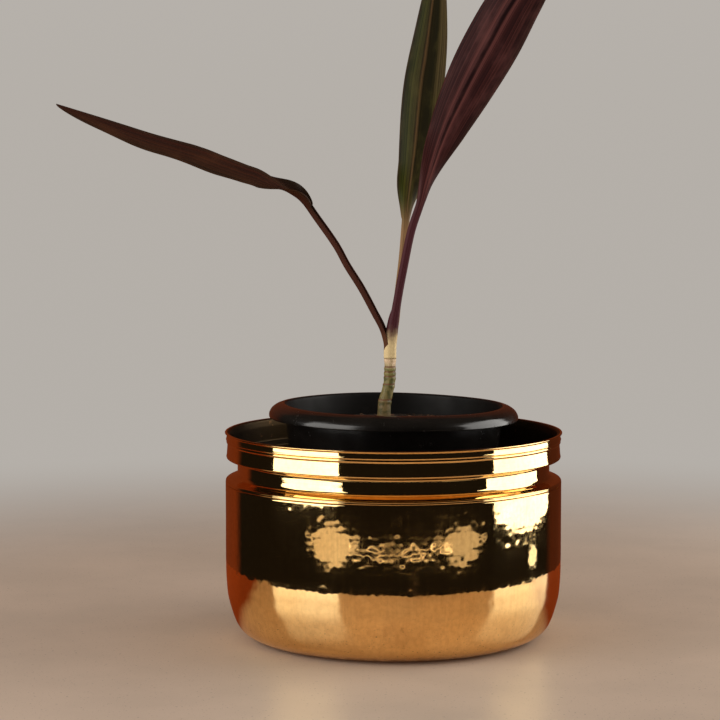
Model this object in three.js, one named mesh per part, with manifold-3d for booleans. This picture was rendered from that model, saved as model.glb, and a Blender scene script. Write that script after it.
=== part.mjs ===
// Brass planter pot: a hand-beaten bowl with a turned collar, and the potted plant that lifts out of it.
// Millimetres, +Z up. The origin is on the floor, under the middle of the bowl.
import * as THREE from 'three';
import { mergeVertices } from 'three/addons/utils/BufferGeometryUtils.js';
import Module from 'manifold-3d';

const wasm = await Module();
wasm.setup();

// Driving dimensions
const ROUND_SIDES = 48;       // flats round each turned or moulded piece
const FIT_GAP = 0.3;          // air between pieces that touch

const BOWL_RADIUS = 150;      // outside of the beaten wall
const BOWL_WALL = 1.6;        // thickness of the beaten sheet
const BASE_RADIUS = 112;      // flat part of the base
const SEAM_HEIGHT = 139;      // where the bowl ends and the collar begins

const NECK_RADIUS = 139.3;    // outside of the recessed neck
const RIM_RADIUS = 150.5;     // outside of the lip
const RIM_HEIGHT = 184.8;     // top of the lip, which is the top of the brass
const COLLAR_WALL = 2;
const LAP_DEPTH = 8;          // how far the collar reaches down inside the bowl

const POT_BASE_RADIUS = 80;
const POT_WALL_RADIUS = 96.2; // outside of the wall just under the lip
const POT_LIP_RADIUS = 111;
const POT_TOP = 208.6;
const POT_LIP_BOTTOM = 196.2;
const POT_WALL = 1.6;
const POT_FOOT = 3.5;         // the foot ring holds the drain holes clear of the brass
const DRAIN_RADIUS = 6;
const DRAIN_CIRCLE = 56;
const DRAIN_COUNT = 8;

const SOIL_TOP = 192;
const CANE_RADIUS = 5.6;
const CANE_TOP = 271;

const BRASS = { color: 0xd8a24c, roughness: 0.16, metalness: 1 };
const BEATEN_BRASS = { color: 0xcf9a46, roughness: 0.22, metalness: 1 };
const BLACK_PLASTIC = { color: 0x14110f, roughness: 0.35, metalness: 0 };
const SOIL = { color: 0x2b1c12, roughness: 0.95, metalness: 0 };
const CANE_BARK = { color: 0x8f8f55, roughness: 0.6, metalness: 0 };
const GREEN_LEAF = { color: 0x2c3a1a, roughness: 0.42, metalness: 0 };
const PURPLE_LEAF = { color: 0x42202a, roughness: 0.42, metalness: 0 };
const MAROON_LEAF = { color: 0x3c1a12, roughness: 0.45, metalness: 0 };

const planter = new THREE.Group();

function addPiece(name, geometry, finish) {
  const mesh = new THREE.Mesh(geometry, new THREE.MeshStandardMaterial(finish));
  mesh.name = name;
  planter.add(mesh);
}

function points(...pairs) {
  return pairs.map(([x, y]) => new THREE.Vector2(x, y));
}

// Points of a smooth curve through the given radius and height pairs, without its last point.
function smooth(steps, ...pairs) {
  return new THREE.SplineCurve(points(...pairs)).getPoints(steps).slice(0, -1);
}

// A solid of revolution round the Z axis from a profile of (radius, height) points.
function turned(profile) {
  return new THREE.LatheGeometry(profile, ROUND_SIDES).rotateX(Math.PI / 2);
}

// A closed mesh as a solid that can be cut.
function toSolid(geometry) {
  const bare = geometry.clone();
  bare.deleteAttribute('normal');
  bare.deleteAttribute('uv');
  const merged = mergeVertices(bare, 1e-4);
  return new wasm.Manifold(new wasm.Mesh({
    numProp: 3,
    vertProperties: new Float32Array(merged.attributes.position.array),
    triVerts: new Uint32Array(merged.index.array),
  }));
}

function toGeometry(solid) {
  const mesh = solid.getMesh();
  const geometry = new THREE.BufferGeometry();
  geometry.setAttribute('position', new THREE.BufferAttribute(mesh.vertProperties, 3));
  geometry.setIndex(new THREE.BufferAttribute(mesh.triVerts, 1));
  geometry.computeVertexNormals();
  return geometry;
}

// The bowl is one beaten sheet: a flat base, a corner that opens into the wall, and an upright wall.
// The profile goes up the outside and comes back down the inside.
function beatenBowl() {
  const inside = BOWL_RADIUS - BOWL_WALL;
  return turned([
    ...points([0, 0]),
    ...smooth(8, [BASE_RADIUS, 0], [128, 3], [139.6, 12.4], [147.4, 34.5], [149.5, 52], [BOWL_RADIUS, 70]),
    ...points([BOWL_RADIUS, 70], [BOWL_RADIUS, SEAM_HEIGHT]),
    ...points([inside, SEAM_HEIGHT]),
    ...smooth(7, [inside, 70], [145.8, 35.2], [138.2, 13.4], [127.4, 4.6], [BASE_RADIUS, BOWL_WALL]),
    ...points([BASE_RADIUS, BOWL_WALL], [0, BOWL_WALL]),
  ]);
}

// The collar is spun and turned: shoulder, recessed neck, a tall band, a double bead, a low band and a lip.
// It laps down inside the top of the bowl, where the two are brazed.
function turnedCollar() {
  const seam = SEAM_HEIGHT + FIT_GAP;
  const lap = BOWL_RADIUS - BOWL_WALL - FIT_GAP;
  const outside = [
    ...points([lap, SEAM_HEIGHT - LAP_DEPTH], [lap, seam], [BOWL_RADIUS - 0.2, seam]),
    ...points([BOWL_RADIUS, seam + 1.6], [149.3, seam + 3], [144.2, seam + 4.6], [141.2, seam + 6.3]),
    ...points([NECK_RADIUS, seam + 10.4], [NECK_RADIUS, seam + 18.6], [141.2, seam + 20.6]),
    ...points([148, seam + 21.9], [149.3, seam + 23.5], [148.9, seam + 25.4], [148.2, seam + 35.1]),
    ...points([149.2, seam + 36.3], [148.6, seam + 37.6], [149.6, seam + 38.9], [149.1, seam + 40.2]),
    ...points([148.8, seam + 43.4], [RIM_RADIUS, seam + 44.1], [RIM_RADIUS, seam + 45]),
  ];
  const inside = [
    ...points([149.6, RIM_HEIGHT], [146.9, RIM_HEIGHT], [146, 183.4], [145.3, 178]),
    ...points([145.2, seam + 24.9], [NECK_RADIUS - COLLAR_WALL, seam + 21.6]),
    ...points([NECK_RADIUS - COLLAR_WALL, seam + 9.4], [142.6, seam + 2.8], [lap - 1.6, seam - 1.8]),
    ...points([lap - 1.6, SEAM_HEIGHT - LAP_DEPTH], [lap, SEAM_HEIGHT - LAP_DEPTH]),
  ];
  return turned([...outside, ...inside]);
}

// The moulded nursery pot: foot ring, tapered wall, and a lip that rolls over and hangs clear of the wall.
function nurseryPot() {
  const foot = BOWL_WALL + FIT_GAP;
  const plate = foot + POT_FOOT;
  const shell = turned([
    ...points([0, plate], [POT_BASE_RADIUS - 7, plate], [POT_BASE_RADIUS - 7, foot]),
    ...points([POT_BASE_RADIUS - 1, foot], [POT_BASE_RADIUS, foot + 2]),
    ...points([POT_WALL_RADIUS, POT_LIP_BOTTOM], [POT_WALL_RADIUS + 0.4, 204.6], [103, 204.2]),
    ...points([108.2, 200.6], [109.2, POT_LIP_BOTTOM], [POT_LIP_RADIUS, POT_LIP_BOTTOM]),
    ...points([POT_LIP_RADIUS, 199.8], [109.2, 203.2], [105.4, 206.2], [100.6, 208.2]),
    ...points([97.4, POT_TOP], [95.2, 207.6], [POT_WALL_RADIUS - POT_WALL, POT_LIP_BOTTOM]),
    ...points([POT_BASE_RADIUS - POT_WALL, plate + POT_WALL], [0, plate + POT_WALL]),
  ]);
  let pot = toSolid(shell);
  for (let i = 0; i < DRAIN_COUNT; i++) {
    const angle = (i + 0.5) * 2 * Math.PI / DRAIN_COUNT;
    const drill = new THREE.CylinderGeometry(DRAIN_RADIUS, DRAIN_RADIUS, 3 * POT_FOOT, 16);
    drill.rotateX(Math.PI / 2);
    drill.translate(DRAIN_CIRCLE * Math.cos(angle), DRAIN_CIRCLE * Math.sin(angle), plate);
    pot = pot.subtract(toSolid(drill));
  }
  return toGeometry(pot);
}

// The cane stands a little off centre, steps sideways at an old joint, and goes on straight above it.
const CANE_PATH = new THREE.CatmullRomCurve3([
  new THREE.Vector3(-8.6, 0, 148),
  new THREE.Vector3(-8.4, 0, 186),
  new THREE.Vector3(-8, 0, 208),
  new THREE.Vector3(-5.6, 0, 219),
  new THREE.Vector3(-3.4, 0, 230),
  new THREE.Vector3(-3, 0, 250),
  new THREE.Vector3(-3, 0, CANE_TOP),
]);

function rod(path, radius, steps, sides) {
  const section = new THREE.Shape();
  for (let i = 0; i < sides; i++) {
    const angle = i * 2 * Math.PI / sides;
    const corner = [radius * Math.cos(angle), radius * Math.sin(angle)];
    if (i === 0) section.moveTo(...corner);
    else section.lineTo(...corner);
  }
  return new THREE.ExtrudeGeometry(section, { steps, bevelEnabled: false, extrudePath: path });
}

// The potting mix fills the pot to a finger's breadth under the lip, and the cane is planted in it.
function pottingMix() {
  const bottom = BOWL_WALL + FIT_GAP + POT_FOOT + POT_WALL + FIT_GAP;
  const taper = (POT_WALL_RADIUS - POT_BASE_RADIUS) / (POT_LIP_BOTTOM - BOWL_WALL - FIT_GAP - 2);
  const low = POT_BASE_RADIUS - POT_WALL - 2 * FIT_GAP;
  const edge = SOIL_TOP - 2.5;
  const high = low + taper * (edge - bottom);
  const mix = turned(points([0, bottom], [low, bottom], [high, edge], [60, SOIL_TOP - 0.5], [0, SOIL_TOP]));
  return toGeometry(toSolid(mix).subtract(toSolid(rod(CANE_PATH, CANE_RADIUS + FIT_GAP, 24, 14))));
}

// A leaf is a box bent along its midrib: x runs across the leaf, y through it and z from stalk to tip.
// halfWidth and thickness are functions of the share of the length; fold lifts the two edges.
function leaf({ midrib, across, halfWidth, thickness, fold }) {
  const path = new THREE.CatmullRomCurve3(midrib.map((p) => new THREE.Vector3(...p)));
  const geometry = new THREE.BoxGeometry(1, 1, 1, 4, 1, 36);
  const position = geometry.attributes.position;
  for (let i = 0; i < position.count; i++) {
    const u = 2 * position.getX(i);
    const share = position.getZ(i) + 0.5;
    const along = path.getTangentAt(share);
    const side = new THREE.Vector3(...across);
    side.addScaledVector(along, -side.dot(along)).normalize();
    const up = new THREE.Vector3().crossVectors(along, side);
    const half = halfWidth(share);
    const lift = fold * Math.abs(u) * half + position.getY(i) * thickness(share);
    const point = path.getPointAt(share).addScaledVector(side, u * half).addScaledVector(up, lift);
    position.setXYZ(i, point.x, point.y, point.z);
  }
  geometry.computeVertexNormals();
  return geometry;
}

// Half the width of a leaf: a slim stalk up to the share called stalk, then a blade that tapers to a point.
function bladeWidth(stalk, widest, stalkHalf) {
  return (share) => {
    const t = Math.max(0, (share - stalk) / (1 - stalk));
    return Math.max(1.2, stalkHalf * (1 - t) + (widest - stalkHalf) * Math.sin(Math.PI * t ** 0.9) ** 0.8);
  };
}

// A leaf's thickness: a firm stalk that thins into the blade.
function bladeThickness(stalk, stalkThickness, bladeThin) {
  return (share) =>
    THREE.MathUtils.lerp(stalkThickness, bladeThin, THREE.MathUtils.smoothstep(share, 0, stalk));
}

function leftLeaf() {
  return leaf({
    midrib: [[-7.2, 0, 272.4], [-7.8, 0, 275.4], [-12.6, -0.3, 281.5], [-19, -0.8, 289.6], [-30.5, -2, 311],
      [-43, -3, 331], [-53.5, -4, 350], [-71, -5, 375], [-81, -6, 389], [-91, -7, 397.5], [-115, -8, 413],
      [-131, -9, 420.5], [-150, -10, 428.5], [-172, -11, 437], [-213, -12, 448.5], [-254, -13, 461.5],
      [-297, -14, 475]],
    across: [0.1, 1, 0.34],
    halfWidth: bladeWidth(0.36, 21, 2.6),
    thickness: bladeThickness(0.36, 3.4, 1.2),
    fold: 0.35,
  });
}

function rightLeaf() {
  return leaf({
    midrib: [[-1.2, -3.2, 271.8], [-0.8, -3.8, 276], [1.6, -5, 286], [5.2, -5.5, 306], [9.3, -6, 328],
      [16.2, -8, 362], [24.6, -10, 388], [31, -12, 411], [45, -15, 452], [63, -18, 491], [83, -20, 529],
      [104, -22, 566], [132, -22, 604], [166, -18, 636], [204, -10, 662]],
    across: [1, 0.42, -0.4],
    halfWidth: bladeWidth(0.3, 24, 2.6),
    thickness: bladeThickness(0.3, 3.4, 1.2),
    fold: -0.3,
  });
}

function backLeaf() {
  return leaf({
    midrib: [[-0.6, 3.4, 271.8], [3.2, 4.6, 290], [8.6, 8, 336], [12.4, 11, 383], [18.6, 13, 432], [24, 14, 490],
      [31, 14, 540], [36, 13, 584], [39, 11, 622]],
    across: [1, 0.3, 0],
    halfWidth: bladeWidth(0.3, 19, 2.4),
    thickness: bladeThickness(0.3, 3.2, 1.2),
    fold: -0.3,
  });
}

addPiece('beaten_bowl', beatenBowl(), BEATEN_BRASS);
addPiece('turned_collar', turnedCollar(), BRASS);
addPiece('nursery_pot', nurseryPot(), BLACK_PLASTIC);
addPiece('potting_mix', pottingMix(), SOIL);
addPiece('cane', rod(CANE_PATH, CANE_RADIUS, 24, 14), CANE_BARK);
addPiece('left_leaf', leftLeaf(), MAROON_LEAF);
addPiece('right_leaf', rightLeaf(), PURPLE_LEAF);
addPiece('back_leaf', backLeaf(), GREEN_LEAF);

export default planter;
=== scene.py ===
# %% [markdown]
# # A beaten brass planter pot
#
# The object is a round brass vessel with a hand-beaten bowl and a lathe-turned collar. A black nursery pot
# stands in it, with a young ti plant: one ringed cane and three long leaves. This lesson builds the looks
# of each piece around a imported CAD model, which gives every size and place, and never moves it.
#
# The first cell loads that model. Each of its nodes has a box, and the pieces below are fitted to those
# boxes.

import math

import bpy
import numpy as np
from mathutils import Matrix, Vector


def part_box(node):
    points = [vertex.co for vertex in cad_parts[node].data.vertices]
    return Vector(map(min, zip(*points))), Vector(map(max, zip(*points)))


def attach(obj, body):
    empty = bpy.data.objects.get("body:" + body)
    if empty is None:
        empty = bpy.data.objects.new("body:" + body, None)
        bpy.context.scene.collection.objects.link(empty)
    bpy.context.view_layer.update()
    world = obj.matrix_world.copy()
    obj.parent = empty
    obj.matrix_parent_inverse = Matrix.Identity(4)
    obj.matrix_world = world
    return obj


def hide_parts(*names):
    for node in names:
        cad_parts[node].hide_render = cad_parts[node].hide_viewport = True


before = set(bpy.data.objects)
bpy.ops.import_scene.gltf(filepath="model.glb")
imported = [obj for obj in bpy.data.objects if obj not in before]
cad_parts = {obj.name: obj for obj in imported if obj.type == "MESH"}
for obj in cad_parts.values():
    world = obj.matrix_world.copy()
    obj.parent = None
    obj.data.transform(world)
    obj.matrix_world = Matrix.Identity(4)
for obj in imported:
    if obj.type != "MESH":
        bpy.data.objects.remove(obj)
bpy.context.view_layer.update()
MM = 0.001

bowl_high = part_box("beaten_bowl")[1]
collar_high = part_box("turned_collar")[1]
pot_low, pot_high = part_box("nursery_pot")
soil_low, soil_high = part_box("potting_mix")

# %% [markdown]
# ## Surfaces from arrays
#
# Every piece here is a grid of points: so many rows, so many points in each row. A row can close on itself,
# as a ring does, and the grid can start and end in a single point, as the middle of a base does. The
# helpers below turn such a grid into a mesh. They work on whole arrays, which is far quicker than adding
# one vertex after another, and they can store two numbers per point as a UV map, so that a material can
# follow the surface.

# %% Grid helpers
def full_turn(count):
    """Evenly spaced angles round a full turn, count of them, from 0."""
    return np.linspace(0, 2 * np.pi, count, endpoint=False)


def ring_faces(first, count):
    """Quads between two rings of count points, whose first points are first and first + count."""
    here = np.arange(count)
    after = (here + 1) % count
    return np.stack([first + here, first + after, first + count + after, first + count + here], 1)


def make_piece(name, vertices, polygons, uv=None, smooth=True):
    """A mesh object from an array of points and a list of polygon arrays, each with its own corner count."""
    mesh = bpy.data.meshes.new(name)
    corners = np.concatenate([faces.ravel() for faces in polygons]).astype(np.int32)
    sizes = np.concatenate([np.full(len(faces), faces.shape[1]) for faces in polygons]).astype(np.int32)
    starts = np.concatenate([[0], np.cumsum(sizes)[:-1]]).astype(np.int32)
    mesh.vertices.add(len(vertices))
    mesh.vertices.foreach_set("co", np.ascontiguousarray(vertices, np.float32).ravel())
    mesh.loops.add(len(corners))
    mesh.loops.foreach_set("vertex_index", corners)
    mesh.polygons.add(len(sizes))
    mesh.polygons.foreach_set("loop_start", starts)
    mesh.polygons.foreach_set("use_smooth", np.full(len(sizes), smooth))
    mesh.update(calc_edges=True)
    mesh.validate()
    if uv is not None:
        layer = mesh.uv_layers.new(name="surface")
        layer.data.foreach_set("uv", np.ascontiguousarray(uv[corners], np.float32).ravel())
    piece = bpy.data.objects.new(name, mesh)
    bpy.context.scene.collection.objects.link(piece)
    print(f"{name}: {len(vertices)} points, {len(sizes)} faces")
    return piece


def ring_stack(rows, columns):
    """The quads between all the rings of a grid, from its first ring to its last."""
    return np.concatenate([ring_faces(row * columns, columns) for row in range(rows - 1)])


def closed_shell(name, grid, start, end):
    """A piece from a grid of rings whose two ends are closed by fans round the points start and end."""
    rows, columns = grid.shape[:2]
    here = np.arange(columns)
    after = (here + 1) % columns
    last = (rows - 1) * columns
    middle = here * 0 + rows * columns
    fans = np.concatenate([np.stack([after, here, middle], 1),
                           np.stack([last + here, last + after, middle + 1], 1)])
    vertices = np.concatenate([grid.reshape(-1, 3), [start, end]])
    return make_piece(name, vertices, [ring_stack(rows, columns), fans])


def closed_ring(name, grid):
    """A piece from a grid of rings whose last ring meets the first again, as in a hoop."""
    rows, columns = grid.shape[:2]
    here = np.arange(columns)
    after = (here + 1) % columns
    last = (rows - 1) * columns
    joint = np.stack([last + here, last + after, after, here], 1)
    return make_piece(name, grid.reshape(-1, 3), [np.concatenate([ring_stack(rows, columns), joint])])

# %% [markdown]
# ## Profiles and turning
#
# Brass collars and plastic pots are both made by turning a profile round an axis. Real corners are never
# quite sharp: a small arc in each corner catches a line of light, and that line is most of what the eye
# reads as metal. So a profile is written as its few true corners, and a helper rounds each of them.

# %% Profile helpers
def rounded(corners, radius, steps=4):
    """A profile with each inner corner replaced by an arc: a quadratic curve between two points that lie
    radius away from the corner along its two sides, or a third of the side where that is shorter."""
    points = np.array(corners, float)
    out = [points[0]]
    blend = np.linspace(0, 1, steps + 1)[:, None]
    for before, corner, after in zip(points[:-2], points[1:-1], points[2:]):
        reach_in = min(radius, np.linalg.norm(corner - before) / 3)
        reach_out = min(radius, np.linalg.norm(after - corner) / 3)
        start = corner + (before - corner) / np.linalg.norm(before - corner) * reach_in
        end = corner + (after - corner) / np.linalg.norm(after - corner) * reach_out
        out.extend((1 - blend) ** 2 * start + 2 * blend * (1 - blend) * corner + blend ** 2 * end)
    out.append(points[-1])
    return np.array(out)


def spaced(profile, step):
    """The same profile with points no further apart than step, by adding points along its straight sides."""
    lengths = np.linalg.norm(np.diff(profile, axis=0), axis=1)
    counts = np.maximum(1, np.ceil(lengths / step).astype(int))
    parts = [a + (b - a) * np.linspace(0, 1, n, endpoint=False)[:, None]
             for a, b, n in zip(profile[:-1], profile[1:], counts)]
    return np.concatenate([*parts, profile[-1:]])


def curve_through(points, count):
    """A smooth curve of count points through a few given ones: cubic pieces whose slope at each given point
    runs parallel to the line between its two neighbours, spaced evenly along the length."""
    given = np.array(points, float)
    padded = np.concatenate([2 * given[:1] - given[1:2], given, 2 * given[-1:] - given[-2:-1]])
    t = np.linspace(0, 1, 24, endpoint=False)[:, None]
    parts = []
    for a, b, c, d in zip(padded[:-3], padded[1:-2], padded[2:-1], padded[3:]):
        parts.append(b + (c - a) * t / 2 + (2 * a - 5 * b + 4 * c - d) * t ** 2 / 2
                     + (3 * b - a - 3 * c + d) * t ** 3 / 2)
    fine = np.concatenate([*parts, given[-1:]])
    run = np.concatenate([[0], np.cumsum(np.linalg.norm(np.diff(fine, axis=0), axis=1))])
    even = np.linspace(0, run[-1], count)
    return np.stack([np.interp(even, run, fine[:, k]) for k in range(fine.shape[1])], 1)


def turned_grid(profile, columns):
    """Points of a surface of revolution: each (radius, height) of the profile carried round the Z axis."""
    angle = full_turn(columns)
    radius = profile[:, 0, None]
    return np.stack([radius * np.cos(angle), radius * np.sin(angle), profile[:, 1, None] + 0 * angle], 2)

# %% [markdown]
# ## Camera, floor and light
#
# The object is seen from the front, a little from above, through a long lens that keeps its upright lines
# upright. The lens is turned slightly aside instead of being shifted, so that it stays true from every
# other side too.

# %% Camera
CAMERA_PLACE = (0, -2.1655, 0.4438)
CAMERA_PITCH = math.radians(5.17)
CAMERA_TURN = math.radians(0.79)
LENS_MM = 121.88

camera_data = bpy.data.cameras.new("camera")
camera_data.lens = LENS_MM
camera_data.sensor_width = 36
camera_data.clip_end = 60
camera = bpy.data.objects.new("camera", camera_data)
camera.location = CAMERA_PLACE
camera.rotation_euler = (math.pi / 2 - CAMERA_PITCH, 0, CAMERA_TURN)
bpy.context.scene.collection.objects.link(camera)
bpy.context.scene.camera = camera
bpy.context.scene.view_settings.view_transform = "Standard"
print("camera", CAMERA_PLACE, "lens", LENS_MM)

# %% [markdown]
# ## Writing materials as nodes
#
# A material in Blender is a small network: nodes make numbers and colours, and the Principled shader at its
# end turns them into a surface. A few short helpers keep the networks readable: they add a node, do
# arithmetic, read a noise, turn a number into a colour through a ramp, and mix two colours.

# %% Node helpers
def put(tree, kind, inputs=None, **settings):
    """Add a shader node, set its options, then fill or link its inputs. Returns the node."""
    node = tree.nodes.new("ShaderNode" + kind)
    for name, value in settings.items():
        setattr(node, name, value)
    for name, value in (inputs or {}).items():
        if isinstance(value, bpy.types.NodeSocket):
            tree.links.new(value, node.inputs[name])
        else:
            node.inputs[name].default_value = value
    return node


def calc(tree, operation, *values):
    """One Math node, and its result."""
    return put(tree, "Math", dict(enumerate(values)), operation=operation).outputs[0]


def band(tree, value, low, high, to_low=0.0, to_high=1.0):
    """A number carried smoothly from one range to another, and held at its ends."""
    inputs = {"Value": value, "From Min": low, "From Max": high, "To Min": to_low, "To Max": to_high}
    return put(tree, "MapRange", inputs, interpolation_type="SMOOTHSTEP").outputs["Result"]


def stretched(tree, vector, x, y, z):
    """The coordinates multiplied by three factors, which squeezes or stretches any pattern read with them."""
    return put(tree, "VectorMath", {0: vector, 1: (x, y, z)}, operation="MULTIPLY").outputs[0]


def noise(tree, vector, scale, detail=3.0, roughness=0.55):
    """A noise pattern read at the vector, as a number from 0 to 1. scale is its waves a metre."""
    inputs = {"Vector": vector, "Scale": scale, "Detail": detail, "Roughness": roughness}
    return put(tree, "TexNoise", inputs).outputs["Fac"]


def ramp(tree, value, *stops):
    """A colour ramp through (position, colour) stops."""
    node = put(tree, "ValToRGB", {"Fac": value})
    while len(node.color_ramp.elements) < len(stops):
        node.color_ramp.elements.new(0.5)
    for element, (position, colour) in zip(node.color_ramp.elements, stops):
        element.position = position
        element.color = (*colour, 1)
    return node.outputs["Color"]


def mixed(tree, share, first, second):
    """Two colours mixed by a share."""
    node = put(tree, "Mix", data_type="RGBA")
    for socket, value in zip((node.inputs[0], node.inputs[6], node.inputs[7]), (share, first, second)):
        if isinstance(value, bpy.types.NodeSocket):
            tree.links.new(value, socket)
        else:
            socket.default_value = value if socket == node.inputs[0] else (*value, 1)
    return node.outputs[2]


def new_material(name):
    """An empty material: its tree, its Principled shader and its object coordinates."""
    material = bpy.data.materials.new(name)
    material.use_nodes = True
    tree = material.node_tree
    shader = tree.nodes["Principled BSDF"]
    place = put(tree, "TexCoord").outputs["Object"]
    return material, tree, shader, place


def feed(tree, shader, **inputs):
    """Link or set the shader's inputs, whose names are given with _ for each space."""
    for name, value in inputs.items():
        socket = shader.inputs[name.replace("_", " ")]
        if isinstance(value, bpy.types.NodeSocket):
            tree.links.new(value, socket)
        else:
            socket.default_value = value


def bump(tree, height, depth, normal=None):
    """A Bump node: height is a number from 0 to 1, depth is how deep that is, in metres."""
    inputs = {"Height": height, "Distance": depth, "Strength": 1.0}
    if normal is not None:
        inputs["Normal"] = normal
    return put(tree, "Bump", inputs).outputs["Normal"]

# %% [markdown]
# The floor is pale honed stone with fine speckles. Its far part fades into the colour of the backdrop, as a
# sweep of paper in a studio does, so no horizon line cuts behind the leaves.
#
# What a polished pot shows is mostly its surroundings. So the floor comes in two parts: the wide one that
# the camera sees, and a round tabletop just under it that is the only floor the brass mirrors. Its stone is
# paler and warmer than the floor's, which is painted light: it stands in for the brighter glare of the floor
# that the brass mirrors. Past the tabletop's edge the brass mirrors a dim room instead, which gives its wall
# the dark upper part. At both sides, behind the pot, a warm red-brown sheet lies on the tabletop, which gives
# the brass its orange edges.

# %% Floor
BACKDROP_LOW = (0.46, 0.43, 0.395)
BACKDROP_HIGH = (0.60, 0.575, 0.55)
STONE = (0.60, 0.47, 0.37)
STONE_SPECK = (0.26, 0.20, 0.16)
WARM_SHEET = (0.42, 0.075, 0.014)
# the tabletop stone is paler and warmer than the floor's stone: painted light for the brighter glare in the
# brass
TABLE_STONE_PAINTED_LIGHT = (0.97, 0.64, 0.41)
FLOOR_RADIUS, FLOOR_HEIGHT = 16, -0.0001
TABLETOP_RADIUS, TABLETOP_HEIGHT = 0.44, -0.0003
FADE_NEAR, FADE_FAR = 0.4, 1.3
SHEET_ASIDE, SHEET_BEHIND = (0.11, 0.15), (-0.03, 0.03)


def stone_material(name, pale, gloss, fading):
    """Honed stone. pale is its colour and gloss its least roughness. It either fades into the backdrop
    between two distances, or has a warm sheet at each side, behind the pot."""
    material, tree, shader, place = new_material(name)
    clouds = noise(tree, place, 6, 4)
    specks = band(tree, noise(tree, place, 420, 2), 0.66, 0.72)
    stone = mixed(tree, band(tree, clouds, 0.3, 0.7), pale, tuple(0.9 * v for v in pale))
    stone = mixed(tree, specks, stone, STONE_SPECK)
    if not fading:
        where = put(tree, "SeparateXYZ", {0: place})
        beside = band(tree, calc(tree, "ABSOLUTE", where.outputs["X"]), *SHEET_ASIDE)
        warm = calc(tree, "MULTIPLY", beside, band(tree, where.outputs["Y"], *SHEET_BEHIND))
        stone = mixed(tree, warm, stone, WARM_SHEET)
    feed(tree, shader, Base_Color=stone, Specular_IOR_Level=0.2 if fading else 0.6,
         Roughness=band(tree, clouds, 0.3, 0.7, gloss, gloss + 0.06))
    if fading:
        flat = stretched(tree, place, 1, 1, 0)
        reach = put(tree, "VectorMath", {0: flat}, operation="LENGTH").outputs["Value"]
        glow = put(tree, "Emission", {"Color": (*BACKDROP_LOW, 1), "Strength": 1.0})
        blend = put(tree, "MixShader", {"Fac": band(tree, reach, FADE_NEAR, FADE_FAR)})
        tree.links.new(shader.outputs[0], blend.inputs[1])
        tree.links.new(glow.outputs[0], blend.inputs[2])
        tree.links.new(blend.outputs[0], tree.nodes["Material Output"].inputs["Surface"])
    return material


def disc(name, radius, height):
    """A flat round sheet: one ring of points round a middle one."""
    count = 128
    angle = full_turn(count)
    rim = np.stack([radius * np.cos(angle), radius * np.sin(angle), angle * 0 + height], 1)
    here = np.arange(count)
    fan = np.stack([here, (here + 1) % count, here * 0 + count], 1)
    return make_piece(name, np.concatenate([rim, [[0, 0, height]]]), [fan], smooth=False)


floor = disc("floor", FLOOR_RADIUS, FLOOR_HEIGHT)
floor.data.materials.append(stone_material("floor stone", STONE, 0.42, True))
floor.visible_glossy = False
floor.visible_shadow = False
tabletop = disc("tabletop", TABLETOP_RADIUS, TABLETOP_HEIGHT)
tabletop.data.materials.append(stone_material("tabletop stone with painted light", TABLE_STONE_PAINTED_LIGHT, 0.2, False))
tabletop.visible_camera = False
tabletop.visible_diffuse = False
tabletop.visible_shadow = False

# %% [markdown]
# Two large softboxes stand at the left front and at the right. They are what the polished bands mirror as
# bright bars. Small reflectors, low in front, are broken up by the beaten wall: two pairs of ellipses give
# its golden patches, and a row of short strips gives the line between them. Two more strips glint at the
# right.

# %% Lights
LAMP_WHITE = (1, 0.97, 0.92)
AMBER = (1, 0.78, 0.56)
SOFTBOX_AWAY, REFLECTOR_AWAY = 1.3, 1.0
SOFTBOX_RADIANCE, STRIP_RADIANCE = 3.3, 1.3


def softbox(name, bearing, distance, width, bottom, top, radiance, colour=LAMP_WHITE, shape="RECTANGLE"):
    """An area light that faces the pot. bearing is in degrees from the camera's side, to the right of it.
    Its power is its radiance times its area times pi, which is what makes a flat lamp look that bright."""
    height = top - bottom
    data = bpy.data.lights.new(name, "AREA")
    data.shape = shape
    data.size, data.size_y = width, height
    data.energy = radiance * math.pi * width * height
    data.color = colour
    light = bpy.data.objects.new(name, data)
    turn = math.radians(bearing)
    light.location = (distance * math.sin(turn), -distance * math.cos(turn), (bottom + top) / 2)
    light.rotation_euler = (math.pi / 2, 0, turn)
    light.visible_camera = False
    bpy.context.scene.collection.objects.link(light)
    print(f"{name}: {data.energy:.1f} W")


softbox("softbox_left", -60, SOFTBOX_AWAY, 1.2, -0.03, 1.2, SOFTBOX_RADIANCE)
softbox("softbox_right", 96.7, SOFTBOX_AWAY, 1.41, -0.085, 1.2, SOFTBOX_RADIANCE)
for side, bearing, bright in (("left", -38.7, 0.66), ("right", 43.6, 0.48)):
    for part, width, bottom, top in (("wide", 0.66, -0.047, -0.033), ("tall", 0.44, -0.063, -0.017)):
        softbox(f"reflector_{side}_{part}", bearing, REFLECTOR_AWAY, width, bottom, top, bright, AMBER,
                "ELLIPSE")
for bearing in (-21, -8, 5, 18, 30):
    softbox(f"reflector_middle_{bearing}", bearing, REFLECTOR_AWAY, 0.24, -0.0475, -0.0435, 1.6, AMBER)
for bottom, top in ((-0.23, -0.17), (-0.14, -0.10)):
    softbox(f"strip_right_{top}", 104, SOFTBOX_AWAY, 0.22, bottom, top, STRIP_RADIANCE, shape="ELLIPSE")

# %% [markdown]
# The world is three things at once. The camera sees a pale backdrop. Matt surfaces get an even, soft light.
# Mirrors see a dim studio that is warm behind the pot. The Light Path node tells which kind of ray asks.

# %% World
ROOM = (0.010, 0.0075, 0.0055)
WARM_BACK = (0.15, 0.030, 0.009)
AMBIENT = (0.36, 0.345, 0.33)

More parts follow.
